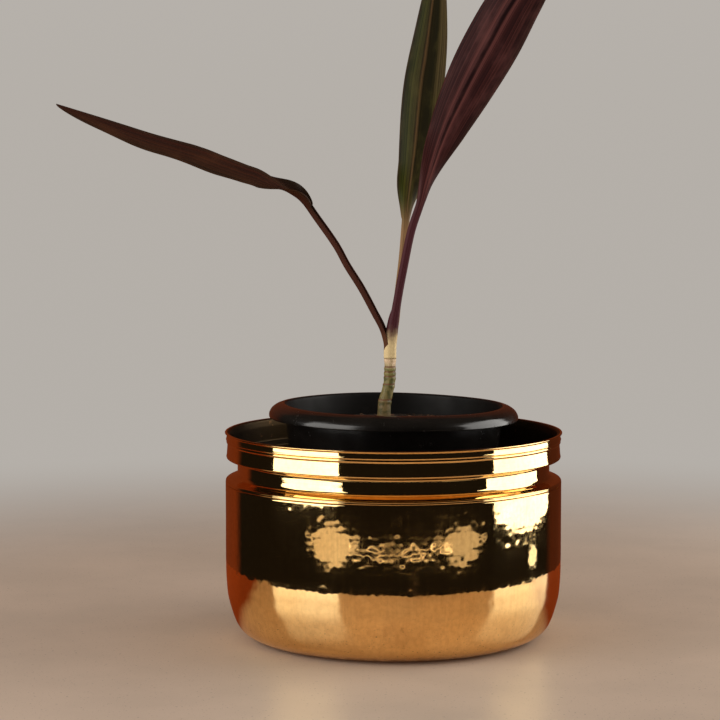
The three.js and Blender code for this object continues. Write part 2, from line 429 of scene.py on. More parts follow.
world = bpy.data.worlds.new("studio")
bpy.context.scene.world = world
world.use_nodes = True
tree = world.node_tree
direction = put(tree, "TexCoord").outputs["Generated"]
facing = put(tree, "SeparateXYZ", {0: direction})
path = put(tree, "LightPath")
backdrop = mixed(tree, band(tree, facing.outputs["Z"], -0.02, 0.5), BACKDROP_LOW, BACKDROP_HIGH)
warm = calc(tree, "MULTIPLY", band(tree, facing.outputs["Y"], 0.58, 0.74),
            band(tree, facing.outputs["X"], -0.2, 0.6, 1.0, 0.4))
room = mixed(tree, warm, ROOM, WARM_BACK)
matt = mixed(tree, path.outputs["Is Glossy Ray"], AMBIENT, room)
seen = mixed(tree, path.outputs["Is Camera Ray"], matt, backdrop)
tree.links.new(seen, tree.nodes["Background"].inputs["Color"])
tree.nodes["Background"].inputs["Strength"].default_value = 1.0
print("world:", len(tree.nodes), "nodes")

# %% [markdown]
# ## Effects that several finishes share
#
# Metal that has been brushed or turned, and leaves too, carry long fine lines. Brass carries tarnish where
# hands and water reach it. Everything in a room carries a little dust. Each of these is a node group: a
# network with named inputs and outputs that can be placed in any material with its own values.

# %% Node groups
def new_group(name, inputs, outputs):
    """A shader node group with named number or vector sockets. Returns the tree and its two end nodes."""
    group = bpy.data.node_groups.new(name, "ShaderNodeTree")
    for title, kind in inputs.items():
        group.interface.new_socket(title, in_out="INPUT", socket_type=kind)
    for title, kind in outputs.items():
        group.interface.new_socket(title, in_out="OUTPUT", socket_type=kind)
    return group, group.nodes.new("NodeGroupInput"), group.nodes.new("NodeGroupOutput")


VALUE, VECTOR = "NodeSocketFloat", "NodeSocketVector"

# fine lines: a noise read with squeezed coordinates, once coarse and once fine
fine_lines, given, result = new_group(
    "fine_lines", {"Squeezed place": VECTOR, "Fineness": VALUE}, {"Lines": VALUE})
coarse = put(fine_lines, "TexNoise", {"Vector": given.outputs[0], "Scale": given.outputs[1], "Detail": 5.0,
                                      "Roughness": 0.65})
finer = calc(fine_lines, "MULTIPLY", given.outputs[1], 4.3)
thin = put(fine_lines, "TexNoise", {"Vector": given.outputs[0], "Scale": finer, "Detail": 2.0})
total = calc(fine_lines, "MULTIPLY_ADD", thin.outputs["Fac"], 0.45,
             calc(fine_lines, "MULTIPLY", coarse.outputs["Fac"], 0.55))
fine_lines.links.new(total, result.inputs[0])

# tarnish: soft clouds that are denser below a given height and in a few small stains
tarnish, given, result = new_group(
    "tarnish", {"Place": VECTOR, "Foot height": VALUE, "Amount": VALUE}, {"Tarnish": VALUE, "Stains": VALUE})
height = put(tarnish, "SeparateXYZ", {0: given.outputs[0]}).outputs["Z"]
clouds = noise(tarnish, given.outputs[0], 22, 5, 0.6)
share = calc(tarnish, "DIVIDE", height, given.outputs[1])
low = band(tarnish, calc(tarnish, "MULTIPLY_ADD", clouds, 0.9, share), 0.35, 1.25, 1.0, 0.0)
patches = band(tarnish, clouds, 0.5, 0.75, 0.0, 0.45)
both = calc(tarnish, "MULTIPLY", calc(tarnish, "MAXIMUM", low, patches), given.outputs[2])
stains = band(tarnish, noise(tarnish, given.outputs[0], 160, 3), 0.66, 0.74)
tarnish.links.new(both, result.inputs[0])
tarnish.links.new(stains, result.inputs[1])

# dust: thickest where a surface faces up, broken by a fine noise
dust, given, result = new_group("dust", {"Place": VECTOR, "Amount": VALUE}, {"Dust": VALUE})
up = put(dust, "SeparateXYZ", {0: put(dust, "NewGeometry").outputs["Normal"]}).outputs["Z"]
motes = band(dust, noise(dust, given.outputs[0], 900, 2), 0.45, 0.75)
layer = calc(dust, "MULTIPLY", band(dust, up, -0.1, 0.9), calc(dust, "MULTIPLY_ADD", motes, 0.7, 0.3))
dust.links.new(calc(dust, "MULTIPLY", layer, given.outputs[1]), result.inputs[0])


def place_group(tree, group, *values):
    """The group as a node of a material, with its inputs in order. Returns its outputs."""
    node = put(tree, "Group", node_tree=group)
    for socket, value in zip(node.inputs, values):
        if isinstance(value, bpy.types.NodeSocket):
            tree.links.new(value, socket)
        else:
            socket.default_value = value
    return node.outputs


print("groups:", fine_lines.name, tarnish.name, dust.name)

# %% [markdown]
# ## The beaten bowl
#
# A coppersmith raises this bowl from sheet over a stake, and planishes it: row after row of light,
# overlapping blows with a polished hammer. Each blow leaves a very shallow round facet, a few millimetres
# wide and only microns deep, and a stray blow now and then leaves a small deeper dimple. The facets are too
# shallow to see by their shade. They show because they break up the edge of everything that the metal
# mirrors.
#
# That could be a bump texture. Here it is worked out as real depth, so that the mesh has it too.
# The depth is a formula on the unrolled wall, added to the turned profile along the surface's normal.

# %% Bowl profile
BRASS_WALL = 1.6 * MM
bowl_radius = bowl_high.x
bowl_height = bowl_high.z
FOOT_CURVE = [(112, 0), (128, 3), (139.6, 12.4), (147.4, 34.5), (149.5, 52), (150, 70), (150, 104)]
BOWL_ROWS = 104
BOWL_COLUMNS = 768

foot_curve = np.array(FOOT_CURVE) * MM
wall_top = np.array([[bowl_radius, bowl_height]])
outer_profile = curve_through(np.concatenate([foot_curve, wall_top]), BOWL_ROWS)
steps = np.linalg.norm(np.diff(outer_profile, axis=0), axis=1)
wall_run = np.concatenate([[0], np.cumsum(steps)])
tangent = np.gradient(outer_profile, axis=0)
tangent /= np.linalg.norm(tangent, axis=1)[:, None]
outward = np.stack([tangent[:, 1], -tangent[:, 0]], 1)
print("the wall is", round(wall_run[-1] / MM, 1), "mm from foot to seam")
print("its rows are", round(steps.mean() / MM, 2), "mm apart")

# %% [markdown]
# The facets: the wall is tiled with staggered rows of hammer blows, each a little off its place. A blow is
# a shallow paraboloid, and where two meet, the deeper one wins, so the surface is the least of them all. A
# soft least, the logarithm of a sum of exponentials, rounds the ridges between them as polishing does.

# %% Hammer marks
BLOW_STEP = 5.6 * MM
FACET_RADIUS = 290 * MM
FACET_UNEVEN = 0.0035 * MM
RIDGE_SOFTNESS = 0.0016 * MM
DIMPLE_COUNT, DEEPEST_DIMPLE = 560, 0.085 * MM
WAVE_SIZE = 0.07 * MM


def hammer_facets(run, around):
    """Depth of the planished facets: minus the soft least, over the nearest blows, of the distance from the
    blow squared over twice the facet radius, less the blow's own extra depth."""
    draw = np.random.default_rng(11)
    columns = int(round(2 * np.pi * bowl_radius / BLOW_STEP))
    across = 2 * np.pi * bowl_radius / columns
    rows = int(run.max() / BLOW_STEP) + 8
    shift = draw.uniform(-0.3, 0.3, (rows, columns, 2))
    extra = draw.uniform(0, FACET_UNEVEN, (rows, columns))
    row = np.floor(run / BLOW_STEP).astype(int)
    total = np.zeros(np.broadcast(run, around).shape)
    for row_step in (-2, -1, 0, 1, 2):
        near_row = row + row_step
        stagger = 0.5 * (near_row % 2)
        column = np.floor(around / across - stagger).astype(int)
        for column_step in (-1, 0, 1, 2):
            near_column = column + column_step
            key = (near_row % rows, near_column % columns)
            centre_up = (near_row + 0.5 + shift[key][..., 0]) * BLOW_STEP
            centre_round = (near_column + stagger + shift[key][..., 1]) * across
            distance = (run - centre_up) ** 2 + (around - centre_round) ** 2
            height = distance / (2 * FACET_RADIUS) - extra[key]
            total += np.exp(-height / RIDGE_SOFTNESS)
    return -RIDGE_SOFTNESS * np.log(total)


def stray_dimples(run, around, count, deepest, seed):
    """Small round dents at random places: each a bell curve a few millimetres wide."""
    draw = np.random.default_rng(seed)
    circumference = 2 * np.pi * bowl_radius
    depth = np.zeros(np.broadcast(run, around).shape)
    for _ in range(count):
        up, along = draw.uniform(0.15, 1) * run.max(), draw.uniform(0, circumference)
        wide, deep = draw.uniform(1.6, 2.8) * MM, deepest * draw.power(0.45)
        rows = np.abs(run[:, 0] - up) < 3.5 * wide
        gap = (around[0] - along + circumference / 2) % circumference - circumference / 2
        columns = np.abs(gap) < 3.5 * wide
        square = (run[rows] - up) ** 2 + gap[columns] ** 2
        depth[np.ix_(rows, columns)] -= deep * np.exp(-square / (2 * wide ** 2))
    return depth


def slow_waves(run, around, size, seed):
    """The unevenness that planishing leaves: a few crossed sine waves, whole in number round the bowl."""
    draw = np.random.default_rng(seed)
    angle = around / bowl_radius
    waves = np.zeros(np.broadcast(run, around).shape)
    for cycles in (5, 8, 11, 13, 17, 21):
        length, phase, tilt = draw.uniform(50, 130) * MM, draw.uniform(0, 7), draw.uniform(0, 7)
        waves += np.sin(cycles * angle + phase) * np.sin(2 * np.pi * run / length + tilt) / cycles
    return size * waves


angle = full_turn(BOWL_COLUMNS) + np.pi / 2
run_grid, around_grid = wall_run[:, None], (angle * bowl_radius)[None, :]
relief = hammer_facets(run_grid, around_grid)
relief += stray_dimples(run_grid, around_grid, DIMPLE_COUNT, DEEPEST_DIMPLE, 5)
relief += slow_waves(run_grid, around_grid, WAVE_SIZE, 3)
fade = np.interp(wall_run, [0, 12 * MM, wall_run[-1] - 4 * MM, wall_run[-1]], [0.2, 1, 1, 0])
relief *= fade[:, None]
print("relief from", round(relief.min() / MM, 3), "to", round(relief.max() / MM, 3), "mm")

# %% [markdown]
# The shell is closed: the outside goes up the wall, turns over at the seam, and comes back down inside at
# the sheet's own thickness, and both faces end in the middle of the base.

# %% Bowl mesh
BASE_RINGS = 5
INNER_ROWS = 14

radius_grid = outer_profile[:, 0, None] + outward[:, 0, None] * relief
height_grid = outer_profile[:, 1, None] + outward[:, 1, None] * relief
base_share = np.linspace(0.12, 0.92, BASE_RINGS)[:, None]
base_radius = base_share * radius_grid[0]
inner_pick = np.linspace(BOWL_ROWS - 1, 0, INNER_ROWS).astype(int)
inner_profile = (outer_profile - outward * BRASS_WALL)[inner_pick]
inner_radius = np.repeat(inner_profile[:, 0, None], BOWL_COLUMNS, 1)
inner_height = np.repeat(inner_profile[:, 1, None], BOWL_COLUMNS, 1)
inner_height[0] = bowl_height
floor_radius = base_share[::-1] * inner_radius[-1]
all_radius = np.concatenate([base_radius, radius_grid, inner_radius, floor_radius])
all_height = np.concatenate([base_radius * 0 + height_grid[0], height_grid, inner_height,
                             floor_radius * 0 + inner_height[-1]])
all_height = np.maximum(all_height, 0)
bowl_points = np.stack([all_radius * np.cos(angle), all_radius * np.sin(angle), all_height], 2)
bowl = closed_shell("beaten_bowl_shell", bowl_points, (0, 0, 0), (0, 0, inner_height[-1, 0]))
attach(bowl, "planter")
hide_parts("beaten_bowl")

# %% [markdown]
# ## The turned collar
#
# The collar is spun and then turned on a lathe. From the top it has a small lip, a low band, a thin double
# bead, a tall plain band that leans back a little, and a shoulder that runs in to a narrow neck and out
# again over the top of the bowl. Its faces are mirror-bright, with the lathe's fine rings still in them. It
# is drawn as a profile of true corners, each rounded a little, and carried round the axis.

# %% Collar profile
collar_top = collar_high.z
seam_height = bowl_height + 0.3 * MM
OUTSIDE = [(148.1, -8), (148.1, 0), (149.9, 0), (150.1, 0.8), (149.7, 1.5), (149.9, 2.2), (149.3, 3),
           (147.6, 3.5), (144.2, 4.6), (141.2, 6.3), (139.6, 8.6), (139.3, 10.4), (139.3, 18.6),
           (139.8, 19.9), (141.2, 20.6), (148, 21.9), (149, 22.5), (149.3, 23.5), (149.1, 24.6),
           (148.9, 25.4), (148.2, 35.1), (148.6, 35.5), (149.2, 36.3), (149.1, 37.2), (148.6, 37.6),
           (149.2, 38.1), (149.6, 38.9), (149.4, 39.7), (149.1, 40.2), (148.8, 43.4), (149.3, 43.8),
           (150.3, 44.1), (150.6, 44.8), (150.2, 45.4), (149.4, 45.5), (146.9, 45.1)]
INSIDE = [(146, 44.1), (145.3, 38.7), (145.2, 24.9), (137.3, 21.6), (137.3, 9.4), (142.6, 2.8),
          (146.5, -1.8), (146.5, -8)]
COLLAR_COLUMNS = 360

corners = np.array(OUTSIDE + INSIDE + OUTSIDE[:1]) * MM
corners[:, 1] += seam_height
scale_up = (collar_top - seam_height) / (corners[:, 1].max() - seam_height)
stretch = np.where(corners[:, 1] > seam_height, scale_up, 1)
corners[:, 1] = seam_height + (corners[:, 1] - seam_height) * stretch
collar_profile = spaced(rounded(corners, 0.9 * MM), 1.5 * MM)
print("collar profile:", len(collar_profile), "points, top at", round(collar_profile[:, 1].max(), 4))

# %% [markdown]
# Carried round the axis, the profile becomes a hoop whose last ring of points meets the first again. No
# lathe runs perfectly true, so the whole hoop wanders up and down by less than a tenth of a millimetre.
# That is too little to see as a shape, but it makes the mirrored lines waver as they do on real metal.

# %% Collar mesh
collar_grid = turned_grid(collar_profile[:-1], COLLAR_COLUMNS)
turn = np.arctan2(collar_grid[..., 1], collar_grid[..., 0])
wander = (np.sin(3 * turn + 0.8) + 0.5 * np.sin(7 * turn + 2.1) + 0.35 * np.sin(12 * turn)) * 0.07 * MM
collar_grid[..., 2] += wander * np.interp(collar_grid[..., 2], [seam_height, seam_height + 0.02], [0, 1])
collar = closed_ring("turned_collar_ring", collar_grid)
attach(collar, "planter")
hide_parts("turned_collar")

# %% [markdown]
# ## Brass
#
# Polished brass has no colour of its own apart from its reflections, which it tints gold. So its material
# is fully metallic. Its base colour is that tint, and its roughness says how sharp the mirror is. Tarnish
# turns the tint browner and the mirror duller, and the polishing lines are a bump a few microns deep.
# Nobody polishes the inside, so there the same metal is dull and tarnished, and its tint is also cut to a
# tenth as painted shade.

# %% Brass materials
GOLD = (0.94, 0.69, 0.32)
DEEP_GOLD = (0.92, 0.64, 0.27)
TARNISHED = (0.50, 0.30, 0.12)
DARK_BRASS_BROWN = (0.20, 0.10, 0.04)
DUST_ON_BRASS = (0.35, 0.28, 0.2)


def brass_material(name, squeeze, fineness, line_depth, polish, dull, foot_height, amount, bright=1.0):
    """Metallic gold with tarnish and polishing lines. squeeze stretches the lines along or round the piece,
    polish and dull are the roughness of clean and of tarnished metal, amount is how much tarnish there is up
    to about the foot height, and bright scales the metal's tints."""
    material, tree, shader, place = new_material(name)
    gold, deep_gold, tarnished = (tuple(bright * v for v in tint) for tint in (GOLD, DEEP_GOLD, TARNISHED))
    squeezed = stretched(tree, place, *squeeze)
    lines = place_group(tree, fine_lines, squeezed, fineness)["Lines"]
    aged = place_group(tree, tarnish, place, foot_height, amount)
    tint = mixed(tree, band(tree, noise(tree, place, 14, 3), 0.35, 0.7), gold, deep_gold)
    tint = mixed(tree, band(tree, noise(tree, place, 240, 3), 0.40, 0.65, 0.0, 0.18), tint, tarnished)
    tint = mixed(tree, aged["Tarnish"], tint, tarnished)
    spots = calc(tree, "MULTIPLY", aged["Stains"], calc(tree, "MULTIPLY_ADD", aged["Tarnish"], 0.8, 0.05))
    tint = mixed(tree, spots, tint, DARK_BRASS_BROWN)
    speckle = band(tree, noise(tree, squeezed, 1.5 * fineness, 3, 0.6), 0.42, 0.68, 0.0, 0.14)
    tint = mixed(tree, speckle, tint, tarnished)
    # near the floor, below a ragged line at most about a centimetre up, the tint turns dark brown and the
    # metal duller
    height = put(tree, "SeparateXYZ", {0: place}).outputs["Z"]
    ragged = calc(tree, "MULTIPLY_ADD", noise(tree, place, 110, 4, 0.65), 12 * MM, height)
    foot = band(tree, ragged, 7 * MM, 13 * MM, 0.85, 0.0)
    tint = mixed(tree, foot, tint, DARK_BRASS_BROWN)
    dusty = place_group(tree, dust, place, 0.10)["Dust"]
    tint = mixed(tree, dusty, tint, DUST_ON_BRASS)
    gloss = band(tree, aged["Tarnish"], 0.0, 1.0, polish, dull)
    gloss = calc(tree, "MULTIPLY_ADD", foot, 0.3, gloss)
    gloss = calc(tree, "MULTIPLY_ADD", band(tree, lines, 0.3, 0.7), 0.03, gloss)
    gloss = calc(tree, "MULTIPLY_ADD", dusty, 0.5, gloss)
    feed(tree, shader, Base_Color=tint, Metallic=1.0, Roughness=gloss,
         Normal=bump(tree, lines, line_depth))
    return material


beaten_brass = brass_material(
    "beaten brass", squeeze=(1, 1, 0.035), fineness=260, line_depth=0.014 * MM, polish=0.025, dull=0.30,
    foot_height=0.03, amount=0.8)
turned_brass = brass_material(
    "turned brass", squeeze=(0.02, 0.02, 1), fineness=700, line_depth=0.002 * MM, polish=0.02, dull=0.22,
    foot_height=0.004, amount=0.5)
# inside the bowl and the collar the tints are cut to a tenth (bright=0.10): painted shade
inner_brass_painted_shade = brass_material(
    "unpolished brass with painted shade", squeeze=(1, 1, 1), fineness=90, line_depth=0.05 * MM, polish=0.30, dull=0.42,
    foot_height=10.0, amount=1.6, bright=0.10)
bowl.data.materials.append(beaten_brass)
collar.data.materials.append(turned_brass)

BOWL_FLOOR_REACH, POT_FLOOR_REACH = 0.137, 0.085
INWARD, UPWARD = -0.15, 0.7


def finish_inside(piece, material, floor_reach):
    """Give the faces that look at the axis a second material: those whose normal points inwards or, within
    floor_reach of the axis, upwards."""
    piece.data.materials.append(material)
    count = len(piece.data.polygons)
    normal, centre = np.empty(count * 3, np.float32), np.empty(count * 3, np.float32)
    piece.data.polygons.foreach_get("normal", normal)
    piece.data.polygons.foreach_get("center", centre)
    normal, centre = normal.reshape(-1, 3), centre.reshape(-1, 3)
    reach = np.linalg.norm(centre[:, :2], axis=1) + 1e-9
    outwards = (normal[:, :2] * centre[:, :2]).sum(1) / reach
    inside = (outwards < INWARD) | ((normal[:, 2] > UPWARD) & (reach < floor_reach))
    piece.data.polygons.foreach_set("material_index", inside.astype(np.int32))
    print(piece.name, "faces inside:", int(inside.sum()))


finish_inside(bowl, inner_brass_painted_shade, BOWL_FLOOR_REACH)
finish_inside(collar, inner_brass_painted_shade, BOWL_FLOOR_REACH)

# %% [markdown]
# ## The nursery pot
#
# The plant still stands in the thin black pot it was grown in, which is injection moulded: a tapered wall,
# a lip that rolls over, and drain holes in the base. Such a pot is never quite true, and its lip dips a
# little to one side. The profile is turned like the collar, and its upper part is then bent by a formula.

# %% Nursery pot shape
POT_COLUMNS = 288
LIP_DIP = math.radians(0.75)
FOOT_HEIGHT = 3.5 * MM
POT_WALL = 1.6 * MM
DRAIN_RADIUS, DRAIN_CIRCLE, DRAIN_COUNT = 6 * MM, 56 * MM, 8
BENT_FROM, BENT_OVER = 0.1, 0.1

pot_floor = pot_low.z
pot_top = pot_high.z
lip_radius = pot_high.x
lip_bottom = pot_top - 12.4 * MM
plate = pot_floor + FOOT_HEIGHT
pot_corners = np.array([
    (0, plate), (0.073, plate), (0.0735, pot_floor), (0.0788, pot_floor), (0.0802, pot_floor + 0.0022),
    (0.0962, lip_bottom), (0.0965, pot_top - 0.0046), (0.1025, pot_top - 0.0048),
    (0.1076, pot_top - 0.0084), (0.1092, lip_bottom), (lip_radius, lip_bottom),
    (lip_radius, lip_bottom + 0.0036), (0.1088, pot_top - 0.0049), (0.105, pot_top - 0.0020),
    (0.1004, pot_top - 0.0003), (0.0972, pot_top), (0.0952, pot_top - 0.0012), (0.0942, lip_bottom),
    (0.0784, plate + POT_WALL + 0.001), (0.0774, plate + POT_WALL), (0, plate + POT_WALL)])
pot_profile = spaced(rounded(pot_corners, 1.6 * MM), 4 * MM)
moulded = turned_grid(pot_profile[1:-1], POT_COLUMNS)
round_pot = np.arctan2(moulded[..., 1], moulded[..., 0])
raised = np.clip((moulded[..., 2] - BENT_FROM) / BENT_OVER, 0, 1) ** 2
oval = 1 + raised * (0.0022 * np.cos(2 * round_pot + 0.6) + 0.001 * np.cos(5 * round_pot))
moulded[..., :2] *= oval[..., None]
moulded[..., 2] -= raised * np.tan(LIP_DIP) * moulded[..., 0]
moulded[..., 2] += raised * 0.25 * MM * np.sin(4 * round_pot + 1)
pot = closed_shell("nursery_pot_moulding", moulded, (0, 0, plate), (0, 0, plate + POT_WALL))

# %% [markdown]
# Water leaves through eight round holes in the base. They do not follow the grid of a turned surface, so
# they cannot be left out of it as missing faces. Eight rods are made as one mesh instead, and a Boolean
# modifier takes them away from the pot. The result is kept as the pot's own mesh, and the rods are thrown
# away.

# %% Drain holes
def drill(radius, circle, count, low, high, sides=24):
    """Closed round rods, count of them in a ring, as one mesh: two rings of points and two end faces each."""
    turn = full_turn(sides)
    spots = (np.arange(count) + 0.5) * 2 * np.pi / count
    x = circle * np.cos(spots)[:, None, None] + radius * np.cos(turn)
    y = circle * np.sin(spots)[:, None, None] + radius * np.sin(turn)
    z = np.array([low, high])[None, :, None]
    points = np.stack(np.broadcast_arrays(x, y, z), 3).reshape(-1, 3)
    first = np.arange(count)[:, None] * 2 * sides
    walls = np.concatenate([ring_faces(start, sides) for start in first[:, 0]])
    ring = np.arange(sides)
    return make_piece("drill", points, [walls, first + ring[::-1], first + sides + ring])


cutter = drill(DRAIN_RADIUS, DRAIN_CIRCLE, DRAIN_COUNT, plate - 0.01, plate + 0.01)
holes = pot.modifiers.new("drain holes", "BOOLEAN")
holes.operation = "DIFFERENCE"
holes.object = cutter
holes.solver = "EXACT"
bpy.context.view_layer.update()
drilled = bpy.data.meshes.new_from_object(pot.evaluated_get(bpy.context.evaluated_depsgraph_get()))
pot.modifiers.clear()
pot.data = drilled
bpy.data.objects.remove(cutter)
print("nursery pot with holes:", len(drilled.polygons), "faces")
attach(pot, "potted_plant")
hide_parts("nursery_pot")

# %% [markdown]
# Moulded black plastic is nearly colourless, with a satin sheen outside and a matt face inside. Its surface
# keeps faint rings from the mould, and dust and dried water lie on it in patches.

# %% Nursery pot materials
BLACK, SOFT_BLACK = (0.0045, 0.0036, 0.0030), (0.009, 0.0072, 0.006)
DUST_ON_BLACK, DRIED_WATER = (0.13, 0.105, 0.08), (0.05, 0.042, 0.034)


def plastic_material(name, shiny, satin, sheen, bloom):
    """Black plastic. shiny and satin are the ends of its roughness, sheen is its specular level, and bloom is
    how much dust and dried water it carries."""
    material, tree, shader, place = new_material(name)
    rings = place_group(tree, fine_lines, stretched(tree, place, 0.03, 0.03, 1), 240)["Lines"]
    powder = place_group(tree, dust, place, 0.08 * bloom)["Dust"]
    splash = band(tree, noise(tree, place, 75, 5, 0.7), 0.60, 0.74, 0, 0.22 * bloom)
    clouds = band(tree, noise(tree, place, 30, 4), 0.3, 0.7)
    grey = mixed(tree, clouds, BLACK, SOFT_BLACK)
    grey = mixed(tree, powder, grey, DUST_ON_BLACK)
    grey = mixed(tree, splash, grey, DRIED_WATER)
    gloss = band(tree, noise(tree, place, 45, 3), 0.3, 0.7, shiny, satin)
    gloss = calc(tree, "MULTIPLY_ADD", splash, 1.2, calc(tree, "MULTIPLY_ADD", rings, 0.08, gloss))
    grain = noise(tree, place, 1500, 2)
    feed(tree, shader, Base_Color=grey, Roughness=gloss, Specular_IOR_Level=sheen,
         Normal=bump(tree, grain, 0.02 * MM, bump(tree, rings, 0.03 * MM)))
    return material


black_plastic = plastic_material("black plastic", shiny=0.11, satin=0.18, sheen=0.55, bloom=1.0)
matt_plastic = plastic_material("matt black plastic", shiny=0.42, satin=0.55, sheen=0.18, bloom=0.7)
pot.data.materials.append(black_plastic)
finish_inside(pot, matt_plastic, POT_FLOOR_REACH)

# %% [markdown]
# ## The potting mix
#
# Potting mix is peat and bark: dark crumbs with pale flecks of wood, and a few white grains of perlite. A
# height formula gives the bed its lumps. The crumbs and chips are one small rough stone shape, copied some
# hundreds of times at seeded places, each with its own size and turn.

# %% Soil bed
SOIL_RINGS, SOIL_COLUMNS = 46, 200
soil_top = soil_high.z
SOIL_EDGE, SOIL_FOOT = 0.0926, 0.079
SOIL_DISH = 2.4 * MM
draw = np.random.default_rng(21)


def lumps(x, y, size):
    """Height of a lumpy bed: crossed sine waves in many directions, each finer one lower than the last."""
    height = 0 * x
    for step in range(26):
        bearing, phase = draw.uniform(0, 2 * np.pi), draw.uniform(0, 2 * np.pi)
        fine = 90 * 1.16 ** step
        height += np.sin(fine * (x * np.cos(bearing) + y * np.sin(bearing)) + phase) / 1.09 ** step
    return size * height / 5


share = np.linspace(1, 0.012, SOIL_RINGS)[:, None] ** 0.9
turn = full_turn(SOIL_COLUMNS)
bed_x, bed_y = SOIL_EDGE * share * np.cos(turn), SOIL_EDGE * share * np.sin(turn)
edge_hold = np.clip((1 - share) / 0.1, 0, 1)
bed_z = soil_top - SOIL_DISH * share ** 4 + lumps(bed_x, bed_y, 1.1 * MM) * edge_hold - 0.6 * MM
taper = (SOIL_EDGE - SOIL_FOOT) / (soil_top - soil_low.z)
depth_share = np.array([0, 0.5, 0.97])[:, None]
side_z = soil_low.z + depth_share * (bed_z[0].min() - soil_low.z) + 0 * turn
side_r = SOIL_EDGE - 0.001 - taper * (soil_top - side_z)
bed = np.stack([np.concatenate([side_r * np.cos(turn), bed_x]),
                np.concatenate([side_r * np.sin(turn), bed_y]), np.concatenate([side_z, bed_z])], 2)
soil = closed_shell("potting_mix_bed", bed, (0, 0, soil_low.z), (0, 0, bed_z[-1].mean()))
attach(soil, "potted_plant")
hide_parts("potting_mix")

# %% [markdown]
# Crumbs that lie loose have gaps and shadows under them, which a painted pattern never has. So they are
# separate little bodies. Each has only a few dozen faces, because there are so many of them, and all the
# copies of one kind are worked out as a single array.

# %% Crumbs and chips
def scattered_stones(name, count, small, large, flat, seed):
    """Rough stones on the soil: a ball of rings pushed in and out at random, then stretched, turned about two
    axes and moved, all as one array of count copies."""
    draw = np.random.default_rng(seed)
    sides, rings = 8, 5
    polar = np.linspace(0, np.pi, rings + 2)[1:-1, None]
    around = full_turn(sides)
    ball = np.stack([np.sin(polar) * np.cos(around), np.sin(polar) * np.sin(around),
                     np.cos(polar) + 0 * around], 2).reshape(-1, 3)
    ball = np.concatenate([ball, [[0, 0, 1], [0, 0, -1]]])
    stones = ball * draw.uniform(0.7, 1.25, (count, len(ball), 1))
    size = small + (large - small) * draw.power(0.6, count)[:, None]
    stones = stones * (size * np.stack([np.ones(count), draw.uniform(0.45, 0.9, count),
                                        draw.uniform(0.5, 1, count) * flat], 1))[:, None, :]
    for first, second, limit in ((1, 2, 0.7), (0, 1, np.pi)):
        bend = draw.uniform(-limit, limit, count)[:, None]
        a, b = stones[..., first].copy(), stones[..., second].copy()
        stones[..., first] = a * np.cos(bend) - b * np.sin(bend)
        stones[..., second] = a * np.sin(bend) + b * np.cos(bend)
    radius = SOIL_EDGE * np.sqrt(draw.uniform(0.02, 0.93, count))
    bearing = draw.uniform(0, 2 * np.pi, count)
    stones[..., 0] += (radius * np.cos(bearing))[:, None]
    stones[..., 1] += (radius * np.sin(bearing))[:, None]
    stones[..., 2] += (soil_top - 0.9 * MM - SOIL_DISH * (radius / SOIL_EDGE) ** 4)[:, None]
    first = np.arange(count)[:, None, None] * len(ball)
    ring = np.arange(sides)
    after = (ring + 1) % sides
    rows = np.arange(rings - 1)[:, None] * sides
    quads = np.stack([rows + ring, rows + sides + ring, rows + sides + after, rows + after], 2).reshape(-1, 4)
    low_row = (rings - 1) * sides
    caps = np.concatenate([np.stack([ring, after, ring * 0 + rings * sides], 1),
                           np.stack([low_row + after, low_row + ring, ring * 0 + rings * sides + 1], 1)])
    polygons = [(first + quads).reshape(-1, 4), (first + caps).reshape(-1, 3)]
    piece = make_piece(name, stones.reshape(-1, 3), polygons, smooth=False)
    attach(piece, "potted_plant")
    return piece


crumbs = scattered_stones("peat_crumbs", 1300, 0.6 * MM, 2.2 * MM, 0.8, 31)
bark = scattered_stones("bark_chips", 150, 2.0 * MM, 5.0 * MM, 0.35, 32)
perlite = scattered_stones("perlite_grains", 46, 0.6 * MM, 1.5 * MM, 0.9, 33)

# %% [markdown]
# Peat, bark and perlite are all dry, rough and grainy, and differ in colour only. One recipe serves for the
# three of them: a noise picks between a dark and a light tone, and a deep bump breaks up the light.

# %% Soil materials
def crumb_material(name, dark, light, roughness):
    """A dry, rough, grainy stuff that goes from dark to light, with darker patches."""
    material, tree, shader, place = new_material(name)
    tone = noise(tree, place, 260, 4, 0.7)
    patches = noise(tree, place, 45, 3)
    colour = mixed(tree, band(tree, tone, 0.35, 0.7), dark, light)
    colour = mixed(tree, band(tree, patches, 0.35, 0.65, 0.0, 0.5), colour, tuple(0.4 * v for v in dark))
    feed(tree, shader, Base_Color=colour, Roughness=band(tree, tone, 0.2, 0.8, roughness - 0.1, roughness),
         Specular_IOR_Level=0.3, Normal=bump(tree, noise(tree, place, 900, 4, 0.7), 0.5 * MM))
    return material


soil_material = crumb_material("peat", (0.018, 0.010, 0.006), (0.075, 0.042, 0.024), 0.95)
soil.data.materials.append(soil_material)
crumbs.data.materials.append(soil_material)
bark.data.materials.append(crumb_material("bark", (0.060, 0.028, 0.014), (0.26, 0.13, 0.062), 0.85))
perlite.data.materials.append(crumb_material("perlite", (0.42, 0.34, 0.27), (0.74, 0.66, 0.56), 0.9))
print("soil materials:", [piece.data.materials[0].name for piece in (soil, crumbs, bark, perlite)])

# %% [markdown]
# ## The cane
#
# A ti plant's cane is a green stem ringed by the scars of the leaves it has dropped. It is thicker just
# under each scar, steps sideways at an old joint, and its bark goes from brown at the soil, through olive,
# to cream where the youngest leaves still wrap it. It is a tube: a circle carried along the same route as
# the CAD model's cane, whose radius is a formula of the height.

